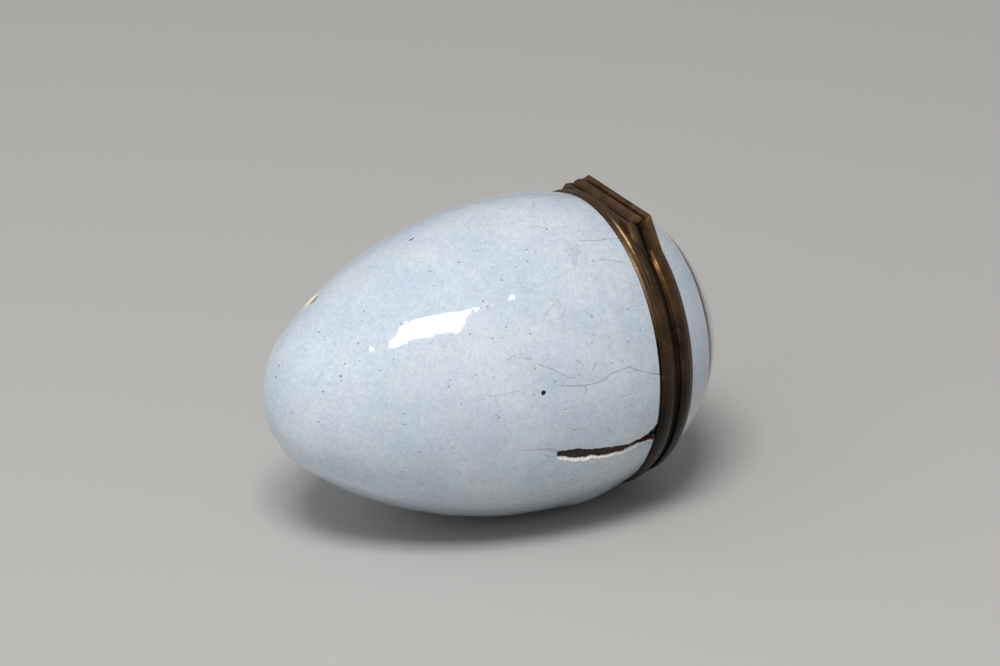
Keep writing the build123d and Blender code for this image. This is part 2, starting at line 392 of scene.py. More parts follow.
def makeCopper():
    material, tree, shader, place = newMaterial("oldCopper", 0.55, metallic=0.6)
    sockets = {"Vector": place, "Broad": copperFinish["broad"], "Fine": copperFinish["fine"]}
    spots = useGroup(tree, mottle, sockets)
    cloudy = fade(tree, spots["Value"], 0.35, 0.65)
    colour = blendColour(tree, cloudy, copperFinish["dark"], copperFinish["red"])
    tree.links.new(colour, shader.inputs["Base Color"])
    tree.links.new(bump(tree, spots["Grain"], 0.03 * mm, 0.8), shader.inputs["Normal"])
    return material


mountFinish = {
    "dark": (0.052, 0.032, 0.018, 1.0),
    "brown": (0.135, 0.077, 0.036, 1.0),
    "gilt": (0.50, 0.29, 0.115, 1.0),
    # the next colour is for painted highlights
    "highlightTone": (1.0, 0.66, 0.33, 1.0),
    # the next colour is painted shade
    "paintedShade": (0.010, 0.008, 0.006, 1.0),
    "warm": (1.0, 0.86, 0.72, 1.0),
    # noise scales of its clouds, rubbed patches and pits, and the depth of the relief
    "clouds": 380.0,
    "patches": 900.0,
    "pits": 2600.0,
    "relief": 0.03 * mm,
    # scratches down to the metal: scale, width and share
    "nicks": (620.0, 0.03, 0.27),
    "barTint": (1.35, 1.45, 1.75),
    "ringTint": (1.2, 1.2, 1.2),
    "collarTint": (2.2, 2.2, 2.2),
}


def makeMountMetal(name, tint, wornMark=True):
    material, tree, shader, place = newMaterial(name, 0.36, metallic=0.85)
    streaks = useGroup(tree, drawnLines, {"Vector": place, "Scale": 1.0})["Value"]
    cloud = noiseValue(tree, place, mountFinish["clouds"], 4.0, 0.6)
    tone = calc(tree, "ADD", times(tree, cloud, 0.6), times(tree, streaks, 0.4))
    dark = [channel * part for channel, part in zip(mountFinish["dark"], tint)] + [1.0]
    brown = [channel * part for channel, part in zip(mountFinish["brown"], tint)] + [1.0]
    colour = blendColour(tree, fade(tree, tone, 0.38, 0.62), dark, brown)
    rubbed = fade(tree, noiseValue(tree, place, mountFinish["patches"], 3.0, 0.7), 0.56, 0.70)
    if wornMark:
        along = addNode(tree, "ShaderNodeSeparateXYZ", {"Vector": place}).outputs["X"]
        redder = fade(tree, along, hinge.x - 0.3 * mm, hinge.x + 0.3 * mm)
        # the worn mark is rubbed gilding, with painted highlights and a painted glint on the rings
        worn = times(tree, readMark(tree, "worn"), fade(tree, cloud, 0.3, 0.6, 0.35, 1.0))
        rubbed = calc(tree, "MAXIMUM", worn, times(tree, rubbed, 0.22))
        warm = blendColour(tree, 1.0, colour, mountFinish["warm"], "MULTIPLY")
        colour = blendColour(tree, redder, colour, warm)
        colour = blendColour(tree, rubbed, colour, mountFinish["gilt"])
        # painted highlight: the strongest of the worn mark is lifted to a bright gilt
        highlightShare = fade(tree, worn, 0.35, 0.8)
        colour = blendColour(tree, highlightShare, colour, mountFinish["highlightTone"])
        scale, width, share = mountFinish["nicks"]
        sockets = {"Vector": place, "Scale": scale, "Width": width, "Share": share}
        nicks = useGroup(tree, scratches, sockets)["Mask"]
        colour = blendColour(tree, times(tree, nicks, 0.45), colour, mountFinish["gilt"])
        # painted shade, from the mark made in markMetal
        colour = blendColour(tree, readMark(tree, "paintedShade"), colour, mountFinish["paintedShade"])
        rough = fade(tree, worn, 0.0, 1.0, 0.40, 0.50)
    else:
        colour = blendColour(tree, times(tree, rubbed, 0.4), colour, mountFinish["gilt"])
        rough = fade(tree, cloud, 0.3, 0.7, 0.30, 0.45)
    tree.links.new(colour, shader.inputs["Base Color"])
    tree.links.new(rough, shader.inputs["Roughness"])
    pits = noiseValue(tree, place, mountFinish["pits"], 2.0)
    height = calc(tree, "ADD", times(tree, streaks, 0.8), times(tree, pits, 0.5))
    tree.links.new(bump(tree, height, mountFinish["relief"], 0.8), shader.inputs["Normal"])
    return material


def makePinSteel():
    material, tree, shader, place = newMaterial("pinSteel", 0.4, metallic=1.0)
    cloud = noiseValue(tree, place, pinFinish["cloud"], 3.0)
    colour = blendColour(tree, fade(tree, cloud, 0.4, 0.6), pinFinish["grey"], pinFinish["rust"])
    tree.links.new(colour, shader.inputs["Base Color"])
    tree.links.new(bump(tree, cloud, 0.02 * mm, 0.6), shader.inputs["Normal"])
    return material


bodyEnamel = makeBodyEnamel()
lidEnamel = makeLidEnamel()
whiteLining = makeLining()
oldCopper = makeCopper()
mountMetal = makeMountMetal("mountMetal", mountFinish["ringTint"])
barMetal = makeMountMetal("barMetal", mountFinish["barTint"])
collarMetal = makeMountMetal("collarMetal", mountFinish["collarTint"], wornMark=False)
pinSteel = makePinSteel()
print("finishes made")


# Mesh helpers

def sectionPoint(x, radius):
    return Vector((x, 0, axisHeight + radius))


def spinSection(points, closed, steps):
    # turns a section about the egg's axis into a shell or a ring
    bm = bmesh.new()
    corners = [bm.verts.new(p) for p in points]
    edges = [bm.edges.new(pair) for pair in zip(corners, corners[1:])]
    if closed:
        edges.append(bm.edges.new((corners[-1], corners[0])))
    bmesh.ops.spin(
        bm, geom=corners + edges, cent=(0, 0, axisHeight), axis=(1, 0, 0), angle=math.tau,
        steps=steps, use_merge=True, use_duplicate=False,
    )
    bmesh.ops.remove_doubles(bm, verts=bm.verts, dist=0.002 * mm)
    bmesh.ops.recalc_face_normals(bm, faces=bm.faces)
    return bm


def addPiece(name, bm, material=None, sharp=35.0):
    mesh = bpy.data.meshes.new(name)
    bm.to_mesh(mesh)
    bm.free()
    return showMesh(name, mesh, material, sharp)


def showMesh(name, mesh, material, sharp):
    piece = bpy.data.objects.new(name, mesh)
    bpy.context.collection.objects.link(piece)
    if material:
        mesh.materials.append(material)
    mesh.shade_smooth()
    mesh.set_sharp_from_angle(angle=math.radians(sharp))
    return piece


def onlyVerts(made):
    return [part for part in made if isinstance(part, bmesh.types.BMVert)]


def sharpEdges(bm, degrees):
    return [e for e in bm.edges if e.is_manifold and e.calc_face_angle() > math.radians(degrees)]


def boxBetween(low, high):
    bm = bmesh.new()
    bmesh.ops.create_cube(bm, size=1.0)
    size = Vector(high) - Vector(low)
    bmesh.ops.scale(bm, vec=size, verts=bm.verts)
    bmesh.ops.translate(bm, vec=(Vector(high) + Vector(low)) / 2, verts=bm.verts)
    return bm


def prism(points, direction):
    # a flat outline pushed out along one direction
    bm = bmesh.new()
    face = bm.faces.new([bm.verts.new(p) for p in points])
    pushed = bmesh.ops.extrude_face_region(bm, geom=[face])["geom"]
    bmesh.ops.translate(bm, vec=direction, verts=onlyVerts(pushed))
    bmesh.ops.recalc_face_normals(bm, faces=bm.faces)
    return bm


def cutPiece(piece, cutters, operation="DIFFERENCE"):
    # takes each cutter out of the piece, or joins it on, for good
    for number, bm in enumerate(cutters):
        cutter = addPiece(f"cutter{number}", bm)
        cut = piece.modifiers.new("cut", "BOOLEAN")
        cut.operation = operation
        cut.solver = "EXACT"
        cut.object = cutter
        graph = bpy.context.evaluated_depsgraph_get()
        mesh = bpy.data.meshes.new_from_object(piece.evaluated_get(graph))
        piece.modifiers.clear()
        piece.data = mesh
        bpy.data.objects.remove(cutter)


def cleanPiece(piece, sharp=35.0):
    bm = bmesh.new()
    bm.from_mesh(piece.data)
    bmesh.ops.remove_doubles(bm, verts=bm.verts, dist=0.003 * mm)
    bmesh.ops.dissolve_degenerate(bm, edges=bm.edges, dist=0.002 * mm)
    bm.to_mesh(piece.data)
    bm.free()
    piece.data.shade_smooth()
    piece.data.set_sharp_from_angle(angle=math.radians(sharp))


# The outline of the egg

def onBody(x, radius, inset=0.0):
    # nearest place on the body's outline, and the way out of it there
    turn = math.atan2(radius, x - tipCentre)
    if turn > joinAngle:
        centre, curve = Vector((tipCentre, 0)), egg["tipRadius"]
    elif x < 0:
        centre, curve = Vector((0, egg["radius"] - flankRadius)), flankRadius
    else:
        centre, curve = Vector((0, egg["radius"] - egg["shoulderRadius"])), egg["shoulderRadius"]
    out = (Vector((x, radius)) - centre).normalized()
    return centre + out * (curve - inset), out


def bodyRadiusAt(x, inset=0.0):
    if x < tipCentre + egg["tipRadius"] * math.cos(joinAngle):
        return math.sqrt(max((egg["tipRadius"] - inset) ** 2 - (x - tipCentre) ** 2, 0.0))
    curve = flankRadius if x < 0 else egg["shoulderRadius"]
    return egg["radius"] - curve + math.sqrt((curve - inset) ** 2 - x**2)


def lidRadiusAt(x, inset=0.0):
    return math.sqrt(max((egg["lidRadius"] - inset) ** 2 - (x - lidCentre) ** 2, 0.0))


def surfacePoint(x, angle):
    turn = math.radians(angle)
    radius = bodyRadiusAt(x)
    return Vector((x, -radius * math.sin(turn), axisHeight + radius * math.cos(turn)))


# The body's enamel, with its damage

body = {
    "steps": 150,
    "ringStep": 0.75 * mm,
    "tipTurns": 12,
    "innerRings": 60,
    "tipGap": 0.6 * mm,
    "calmEdge": 2.5 * mm,
    # how far from the crack the mesh is finer, and the room left round each mark, pass by pass
    "crackReach": 1.15 * mm,
    "crackSide": 1.6 * mm,    # how far the crack marks the glaze on either side
    "refineRooms": (1.3 * mm, 0.7 * mm, 0.35 * mm, 0.12 * mm),
    "enamel": 0.48 * mm,
    "lump": 0.050 * mm,
    "broadLump": 0.060 * mm,
    "fineLump": 0.014 * mm,
    "crackDepth": 0.42 * mm,
    "lineDepth": 0.03 * mm,
    "pitDepth": 0.28 * mm,
    "chipDepth": 0.14 * mm,
    # the open crack: place along the egg, angle of its middle, half its width, width of white edge
    "crack": [
        (-5.3, 103.4, 0.05, 0.08), (-4.9, 104.2, 0.32, 0.34), (-3.9, 105.0, 0.40, 0.56),
        (-2.6, 106.0, 0.50, 0.55), (-1.8, 106.3, 0.46, 0.55), (-0.9, 106.6, 0.36, 0.46),
        (0.3, 107.4, 0.44, 0.42), (1.6, 107.9, 0.40, 0.42), (3.0, 108.7, 0.34, 0.34),
        (4.2, 108.9, 0.28, 0.38), (5.3, 108.2, 0.24, 0.14), (6.4, 107.9, 0.36, 0.06),
        (7.8, 107.4, 0.80, 0.02),
    ],
    # hairline cracks and scratches: half their width, their darkness, and where they run
    "lines": [
        (0.055, 0.85, [(7.6, 82.5), (5.7, 80.0), (4.6, 78.4), (3.5, 76.1), (2.4, 76.4), (1.1, 76.9),
                       (0.2, 78.5), (-1.0, 78.9), (-2.2, 78.9), (-3.6, 78.1), (-4.9, 77.2)]),
        (0.05, 0.7, [(-2.2, 78.9), (-2.0, 80.6), (-2.3, 82.4)]),
        (0.045, 0.5, [(-2.4, 83.4), (-2.5, 85.8), (-2.7, 87.9)]),
        (0.055, 0.6, [(-3.1, 75.6), (-4.0, 74.7), (-4.9, 72.6), (-5.6, 70.7), (-6.4, 69.3), (-7.0, 68.2)]),
        (0.06, 0.35, [(-9.5, 76.1), (-11.0, 76.7), (-12.7, 76.4)]),
        (0.055, 0.95, [(-5.1, 103.6), (-5.9, 102.5), (-6.8, 101.3), (-7.7, 101.2), (-9.4, 100.5)]),
        (0.045, 0.9, [(-5.2, 102.6), (-5.9, 101.5), (-6.7, 100.9)]),
        (0.05, 0.45, [(-7.0, 103.2), (-6.5, 104.6), (-5.7, 105.6), (-5.2, 105.4)]),
        (0.055, 0.8, [(7.6, 26.6), (6.0, 26.4), (5.2, 27.0), (4.2, 26.9), (2.5, 26.1)]),
        (0.05, 0.55, [(7.6, 40.1), (6.2, 37.6), (5.2, 36.5), (4.0, 35.5), (2.7, 35.6)]),
        (0.06, 0.6, [(-2.2, 14.1), (-1.2, 14.9), (-0.2, 16.9)]),
        (0.06, 0.75, [(0.75, 31.7), (0.5, 35.4)]),
        (0.055, 0.6, [(2.1, 21.0), (2.2, 23.1), (3.5, 20.9)]),
        (0.05, 0.5, [(1.4, 17.6), (1.3, 18.6)]),
        (0.05, 0.5, [(1.8, 17.6), (1.6, 18.7)]),
        (0.05, 0.5, [(2.2, 17.5), (2.1, 18.9)]),
        (0.06, 0.5, [(-2.9, 26.1), (-3.2, 27.5)]),
        (0.06, 0.45, [(-2.7, 36.5), (-2.6, 37.8)]),
        (0.06, 0.6, [(-10.3, 64.0), (-9.3, 62.8)]),
        (0.06, 0.55, [(-8.4, 64.8), (-7.6, 65.7)]),
        (0.05, 0.6, [(-2.8, 69.3), (-2.4, 70.2), (-2.0, 71.6)]),
        (0.06, 0.55, [(-0.6, 72.3), (-1.0, 74.0)]),
        (0.06, 0.35, [(2.1, 86.4), (2.8, 86.4), (3.5, 86.0)]),
        (0.06, 0.35, [(-5.2, 86.1), (-4.5, 86.1), (-3.8, 86.2)]),
        (0.05, 0.55, [(-5.1, 52.2), (-4.5, 50.1), (-3.7, 48.4)]),
        (0.05, 0.5, [(-3.4, 54.0), (-2.6, 51.4)]),
        (0.05, 0.8, [(-3.7, 94.8), (-3.3, 95.0)]),
        (0.05, 0.6, [(-3.0, 94.9), (-2.7, 94.8)]),
        (0.06, 0.5, [(0.4, 96.2), (0.9, 98.9)]),
        (0.05, 0.5, [(-26.5, -10.0), (-26.0, -6.1)]),
        (0.05, 0.5, [(-19.9, 52.7), (-19.4, 52.0)]),
        (0.05, 0.5, [(-16.3, 54.7), (-16.0, 52.4)]),
    ],
    # pits through to the metal: place, angle, half its length, half its width
    "pits": [(-6.9, 78.5, 0.30, 0.26), (-12.8, -7.3, 0.42, 0.22)],
    # loose specks in the glaze: place, angle, radius
    "specks": [
        (-5.6, 75.2, 0.13), (-0.2, 17.6, 0.15), (-7.6, 4.7, 0.12), (-9.0, 17.3, 0.11), (-8.6, 18.1, 0.11),
        (-11.1, 19.7, 0.13), (-8.3, 27.8, 0.12), (-8.0, 34.1, 0.13), (-10.8, 39.8, 0.14),
        (-10.6, 42.5, 0.12), (-9.5, 52.0, 0.12), (2.2, -5.7, 0.13), (-3.1, 10.2, 0.10), (-4.4, 29.5, 0.11),
        (4.7, 55.9, 0.12), (5.7, 64.3, 0.12), (3.8, 67.2, 0.11), (-7.5, 69.1, 0.10), (-8.1, 78.3, 0.11),
        (1.3, 73.2, 0.10), (-2.8, 74.6, 0.10), (-13.3, 50.8, 0.12), (-7.2, 56.4, 0.12), (-16.6, 69.5, 0.12),
        (-15.6, 77.8, 0.09), (-12.2, 84.1, 0.10), (-29.7, -6.0, 0.15), (-30.2, -3.0, 0.17),
        (-25.9, 10.9, 0.13), (-25.8, 17.3, 0.11), (-23.5, 35.1, 0.12), (-25.3, 43.2, 0.12),
        (-26.0, 50.1, 0.16), (-21.6, 19.0, 0.11), (-22.3, 24.0, 0.10), (-21.2, 79.4, 0.11),
        (-19.2, 35.8, 0.11), (-30.2, 73.8, 0.14), (0.4, 31.7, 0.10), (-2.9, 115.7, 0.10), (-2.5, 119.2, 0.10),
        (-24.0, 45.4, 0.09), (-6.0, 30.6, 0.10), (2.7, 35.5, 0.10),
    ],
    # a chip near the tip: place, angle, half its length and half its width, with a brown core
    "chip": (-23.5, -29.0, 1.0, 0.75),
    # broad swellings low down: place, angle, radius, height
    "swellings": [(3.2, 149.0, 2.6, 0.30)],
    # dents that catch the light: place, angle, radius, depth
    "dents": [(-8.3, 42.0, 0.6, 0.15), (-22.3, 41.8, 0.45, 0.04)],
}


def gapTo(points, start, end):
    # how far each point is from a straight line between two, and how far along it that is
    along = np.array(end - start)
    length = np.dot(along, along)
    share = np.clip((points - np.array(start)) @ along / length, 0.0, 1.0)
    near = np.array(start) + share[:, None] * along
    return np.linalg.norm(points - near, axis=1), share


def runOf(stations):
    # a run of surface points, close enough together to follow the curve
    places = []
    for (x0, a0), (x1, a1) in zip(stations, stations[1:]):
        parts = max(1, int(max(abs(x1 - x0), abs(a1 - a0) * 0.25) / 0.6))
        places += [(x0 + (x1 - x0) * n / parts, a0 + (a1 - a0) * n / parts) for n in range(parts)]
    places.append(stations[-1])
    return [surfacePoint(x * mm, a) for x, a in places]


def gapToRun(points, run):
    return np.min([gapTo(points, a, b)[0] for a, b in zip(run, run[1:])], axis=0)


def gapToPlace(points, x, angle):
    return np.linalg.norm(points - np.array(surfacePoint(x * mm, angle)), axis=1)


def vertexArray(bm):
    return np.array([v.co for v in bm.verts])


def reachOfMarks(points, spare):
    # how far each point is outside the nearest mark, with some room left round it
    crackRun = runOf([(x, angle) for x, angle, half, edge in body["crack"]])
    gaps = [gapToRun(points, crackRun) - body["crackReach"]]
    for half, dark, stations in body["lines"]:
        gaps.append(gapToRun(points, runOf(stations)) - 2 * half * mm)
    for x, angle, length, width in body["pits"] + [body["chip"]]:
        gaps.append(gapToPlace(points, x, angle) - length * mm)
    for x, angle, radius in body["specks"]:
        gaps.append(gapToPlace(points, x, angle) - radius * mm)
    for x, angle, radius, deep in body["dents"]:
        gaps.append(gapToPlace(points, x, angle) - 1.3 * radius * mm)
    return np.min(gaps, axis=0) - spare


def settle(bm):
    # puts every vertex back on the egg's outline
    for vert in bm.verts:
        radius = math.hypot(vert.co.y, vert.co.z - axisHeight)
        if radius < 1e-7 or vert.co.x > bodyEdgeX - 1e-6:
            continue
        spot, out = onBody(vert.co.x, radius)
        vert.co.x = spot.x
        vert.co.y *= spot.y / radius
        vert.co.z = axisHeight + (vert.co.z - axisHeight) * spot.y / radius


def refine(bm):
    for spare in body["refineRooms"]:
        bm.verts.index_update()
        close = reachOfMarks(vertexArray(bm), spare) < 0
        edges = [e for e in bm.edges if close[e.verts[0].index] and close[e.verts[1].index]]
        bmesh.ops.subdivide_edges(bm, edges=edges, cuts=1, use_grid_fill=True)
        settle(bm)


def noiseAt(points, scale):
    return np.array([noise.noise(Vector(p) * scale) for p in points])


def smoothStep(value, low, high):
    share = np.clip((value - low) / (high - low), 0.0, 1.0)
    return share * share * (3 - 2 * share)


def crackMarks(points):
    # depth, bare metal, white edge and shade of the open crack, from stations along it
    depth, bare, ground, shade = np.zeros((4, len(points)))
    best = np.full(len(points), 1.0)
    middle = Vector((0, 0, axisHeight))
    ragged = noiseAt(points, 1900) + 0.6 * noiseAt(points, 4300)
    stations = body["crack"]
    for (x0, a0, h0, g0), (x1, a1, h1, g1) in zip(stations, stations[1:]):
        start, end = surfacePoint(x0 * mm, a0), surfacePoint(x1 * mm, a1)
        gap, share = gapTo(points, start, end)
        out = ((start + end) / 2 - middle).normalized()
        down = np.array((end - start).cross(out).normalized())
        side = (points - np.array(start)) @ down
        half = (h0 + (h1 - h0) * share + 0.10 * ragged) * mm
        edge = (g0 + (g1 - g0) * share + 0.12 * ragged) * mm
        closer = gap < best
        best = np.where(closer, gap, best)
        inside = smoothStep(side, -half - 0.05 * mm, -half + 0.03 * mm)
        inside *= 1 - smoothStep(side, half, half + edge)
        half = half * 1.5
        onEdge = smoothStep(side, half - 0.03 * mm, half + 0.05 * mm)
        reach = half + edge * 0.6
        onEdge *= 1 - smoothStep(side, reach - 0.05 * mm, reach + 0.03 * mm)
        core = smoothStep(side, -half - 0.03 * mm, -half + 0.04 * mm)
        core *= 1 - smoothStep(side, half - 0.04 * mm, half + 0.04 * mm)
        live = (gap < body["crackSide"]) & closer & (points[:, 0] >= stations[0][0] * mm)
        depth = np.where(live, inside * body["crackDepth"], depth)
        ground = np.where(live, onEdge, ground)
        bare = np.where(live, core, bare)
        # painted shadow on the crack's upper wall
        shade = np.where(live, 1 - smoothStep(side, 0.05 * half, 0.55 * half), shade)
    return depth, bare, ground, shade


def ovalMark(points, x, angle, length, width, lean=0.0):
    centre = surfacePoint(x * mm, angle)
    offset = points - np.array(centre)
    out = np.array((centre - Vector((x * mm * 0.3, 0, axisHeight))).normalized())
    along = np.array((1.0, 0.0, 0.0)) - out * out[0]
    along /= np.linalg.norm(along)
    across = np.cross(out, along)
    u, v = offset @ along, offset @ across
    u, v = u * math.cos(lean) + v * math.sin(lean), v * math.cos(lean) - u * math.sin(lean)
    ragged = noiseAt(points, 2600)
    size = np.sqrt((u / (length * mm)) ** 2 + (v / (width * mm)) ** 2 + (offset @ out / mm) ** 2 * 0.5)
    return size + 0.28 * ragged


def markBody(bm):
    # wears the surface: lumps, crack, pits, specks, chip and dents
    points = vertexArray(bm)
    depth, bare, ground, shade = crackMarks(points)
    line, speck = np.zeros(len(points)), np.zeros(len(points))
    wander = noiseAt(points, 1300)
    for half, dark, stations in body["lines"]:
        gap = gapToRun(points, runOf(stations))
        broken = 0.75 + 0.5 * wander
        share = 1 - smoothStep(gap, half * mm * 0.35, half * mm * 1.35)
        line = np.maximum(line, np.clip(share * dark * broken, 0, 1))
        depth = np.maximum(depth, share * body["lineDepth"])
    for x, angle, length, width in body["pits"]:
        size = ovalMark(points, x, angle, length, width, lean=0.3)
        bare = np.maximum(bare, 1 - smoothStep(size, 0.8, 1.05))
        ground = np.maximum(ground, 0.15 * (1 - smoothStep(size, 1.2, 1.5)))
        depth = np.maximum(depth, (1 - smoothStep(size, 0.5, 1.15)) * body["pitDepth"])
        # painted shade inside the pit
        shade = np.maximum(shade, 0.75 * (1 - smoothStep(size, 0.4, 0.9)))
    for x, angle, radius in body["specks"]:
        gap = gapToPlace(points, x, angle)
        share = 1 - smoothStep(gap, radius * mm * 0.45, radius * mm)
        speck = np.maximum(speck, share * 0.8)
    x, angle, length, width = body["chip"]
    size = ovalMark(points, x, angle, length, width, lean=-0.2)
    ground = np.maximum(ground, 1 - smoothStep(size, 0.9, 1.1))
    depth = np.maximum(depth, (1 - smoothStep(size, 0.6, 1.1)) * body["chipDepth"])
    core = ovalMark(points, x, angle + 4.4, length * 0.6, width * 0.6, lean=-0.2)
    bare = np.maximum(bare, 1 - smoothStep(core, 0.7, 1.1))
    raised = np.zeros(len(points))
    for x, angle, radius, deep in body["dents"]:
        gap = gapToPlace(points, x, angle)
        raised -= deep * mm * np.exp(-((gap / (radius * mm)) ** 2))
    for x, angle, radius, high in body["swellings"]:
        gap = gapToPlace(points, x, angle)
        raised += high * mm * np.exp(-((gap / (radius * mm)) ** 2))
    values = {"line": line, "speck": speck, "ground": ground, "bare": bare, "shade": shade}
    layers = {name: bm.verts.layers.float.new(name) for name in values}
    for number, vert in enumerate(bm.verts):
        for name, layer in layers.items():
            vert[layer] = float(values[name][number])
        radius = math.hypot(vert.co.y, vert.co.z - axisHeight)
        spot, out = onBody(vert.co.x, radius)
        way = Vector((1 if out.x > 0 else -1, 0, 0))
        if radius > 1e-6:
            way = Vector((out.x, vert.co.y / radius * out.y, (vert.co.z - axisHeight) / radius * out.y))
        swell = body["broadLump"] * noise.noise(vert.co * 130) + body["lump"] * noise.noise(vert.co * 330)
        swell += body["fineLump"] * noise.noise(vert.co * 750)
        calm = min(1.0, max(0.0, (bodyEdgeX - vert.co.x) / body["calmEdge"]))
        vert.co += way * ((swell + raised[number]) * calm - depth[number])
        vert.co.z = max(vert.co.z, 0.0)


def makeBodyShell():
    count = int((bodyEdgeX - tipX) / body["ringStep"])
    points, curve = [], egg["tipRadius"]
    for n in range(body["tipTurns"] + 1):
        turn = math.pi + (joinAngle - math.pi) * n / body["tipTurns"]
        points.append(sectionPoint(tipCentre + curve * math.cos(turn), curve * math.sin(turn)))
    startX = points[-1].x
    for n in range(1, count + 1):
        x = startX + (bodyEdgeX - startX) * n / count
        points.append(sectionPoint(x, bodyRadiusAt(x)))
    points[0] = sectionPoint(tipX, 0.0)
    bm = spinSection(points, False, body["steps"])
    refine(bm)
    markBody(bm)
    # the rim
    rim = [e for e in bm.edges if e.is_boundary]
    lip = bmesh.ops.extrude_edge_only(bm, edges=rim)["geom"]
    inner = bodyRadiusAt(bodyEdgeX, body["enamel"])
    for vert in onlyVerts(lip):
        scale = inner / math.hypot(vert.co.y, vert.co.z - axisHeight)
        vert.co.y *= scale
        vert.co.z = axisHeight + (vert.co.z - axisHeight) * scale
        vert.co.x = bodyEdgeX
    return bm


def closeInside(bm):
    # a plain inner skin, joined to the rim that is left open
    count = body["innerRings"]
    innerTip = tipX + body["enamel"] + body["tipGap"]
    loop = [e for e in bm.edges if e.is_boundary]
    for n in range(1, count + 1):
        grown = bmesh.ops.extrude_edge_only(bm, edges=loop)["geom"]
        loop = [e for e in grown if isinstance(e, bmesh.types.BMEdge)]
        x = bodyEdgeX + (innerTip - bodyEdgeX) * n / count
        radius = bodyRadiusAt(x, body["enamel"])
        for vert in onlyVerts(grown):
            scale = radius / math.hypot(vert.co.y, vert.co.z - axisHeight)
            vert.co = Vector((x, vert.co.y * scale, axisHeight + (vert.co.z - axisHeight) * scale))
    bmesh.ops.contextual_create(bm, geom=loop)


def makeBody():
    bm = makeBodyShell()
    closeInside(bm)
    bmesh.ops.recalc_face_normals(bm, faces=bm.faces)
    return addPiece("bodyEnamelShell", bm, bodyEnamel, sharp=50)


bodyPiece = makeBody()
print("body enamel", len(bodyPiece.data.vertices), "points")


# The lid's enamel

lid = {"steps": 150, "rings": 46, "enamel": 0.48 * mm, "lump": 0.02 * mm}


def makeLid():
    # the inner skin from its crown to the edge, then the outer skin back to the crown
    skins = []
    for radius in (egg["lidRadius"] - lid["enamel"], egg["lidRadius"]):
        edgeTurn = math.acos((lidEdgeX - lidCentre) / radius)
        turns = [edgeTurn * n / lid["rings"] for n in range(lid["rings"] + 1)]
        skins.append([sectionPoint(lidCentre + radius * math.cos(t), radius * math.sin(t)) for t in turns])
    bm = spinSection(skins[0] + skins[1][::-1], False, lid["steps"])
    for vert in bm.verts:
        away = vert.co - Vector((lidCentre, 0, axisHeight))
        if away.length > egg["lidRadius"] - 0.1 * mm and vert.co.x > lidEdgeX + 0.5 * mm:
            vert.co += away.normalized() * lid["lump"] * noise.noise(vert.co * 280)
    return addPiece("lidEnamelShell", bm, lidEnamel, sharp=50)


lidPiece = makeLid()
print("lid enamel", len(lidPiece.data.vertices), "points")


# The metal mount

mount = {
    "steps": 220,
    "grooveRadius": 16.02 * mm,
    "rise": 0.32 * mm,
    "edgeStep": 0.12 * mm,
    "beadShare": 0.88,
    "reeds": 4,
    "reedDepth": 0.04 * mm,
    "points": 44,
    "webRadiusBody": 14.17 * mm,
    "webRadiusLid": 14.25 * mm,
    "barHalfLength": 6.6 * mm,
    "barFootY": 9.4 * mm,
    "barTop": 16.4 * mm,
    "barTopBody": 15.9 * mm,
    "barFoot": 12.72 * mm,
    "lipRadius": 3.2 * mm,
    "lipWidth": 1.2 * mm,
    "lipRound": 0.2 * mm,
    "lipInside": 15.1 * mm,    # the lip stops this far from the egg's axis
    "channelHalf": 1.05 * mm,
    "channelHalfLength": 6.4 * mm,
    "valley": math.radians(38),
    "valleyReach": 5.0 * mm,
    # the wall's thickness that the web sits on, and its gap there
    "seat": 0.52 * mm,
    "seatGap": 0.04 * mm,
    "notchLow": 6.0 * mm,
    "notchHigh": 20.0 * mm,
    # the seam between the rings, darkened with painted shade: its place and half its width
    "seam": (10.0 * mm, 0.42 * mm),
    # painted shade on the rings' lower side grows from the first of these angles, over the second
    "shadeAngles": (45, 55),
    # painted shadow: the body's edge is black between these angles, as far along as the third number
    "edgeShadow": (70, 165, 7.8 * mm),
    # painted shade beside the pin: how far each way, how high above it, and over what depth it fades in
    "pinGrime": (1.2 * mm, 0.75 * mm, 0.5 * mm),
    # the web is darkened with painted shade inside this radius, by this much
    "webShade": (15.2 * mm, 0.3),
    # a glint on the ring's edge, a painted highlight: place, angle and radius
    "glint": (7.75 * mm, 83.3, 0.35 * mm),
    # streaks of rubbed gilding, with painted highlights along them: place, angle, half width, half reach in
    # degrees, weight
    "rubbed": [(8.2, 26, 0.17, 11, 1.0), (8.7, 44, 0.13, 5, 0.8), (10.6, 41, 0.15, 8, 0.7)],
}
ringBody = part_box("body_mount_moulding")
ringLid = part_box("lid_mount_moulding")
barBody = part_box("body_hinge_bar")
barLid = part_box("lid_hinge_bar")


def beadSection(edgeX, edgeRadius, seatRadius, webX, webSeat, webRadius, partingX):
    # the reeded bead outside, then the web that hides the wall's rim
    points = []
    middle = (edgeRadius + mount["grooveRadius"]) / 2 + mount["rise"]
    bead = edgeX + (partingX - edgeX) * mount["beadShare"]
    for n in range(mount["points"] + 1):
        share = n / mount["points"]
        x = edgeX + (bead - edgeX) * share
        chord = edgeRadius + (mount["grooveRadius"] - edgeRadius) * share
        swell = 4 * share * (1 - share) * (middle - (edgeRadius + mount["grooveRadius"]) / 2)
        reed = abs(math.sin(math.pi * share * mount["reeds"])) ** 0.7
        radius = chord + swell - mount["reedDepth"] * (1 - reed) * (0.3 + 0.7 * math.sin(math.pi * share))
        points.append((x, radius))
    low = mount["grooveRadius"] - 0.25 * mm
    points += [(bead, low), (partingX, low), (partingX, webRadius)]
    points += [(webX, webRadius), (webX, webSeat), (edgeX, seatRadius)]
    return [sectionPoint(x, r) for x, r in points]


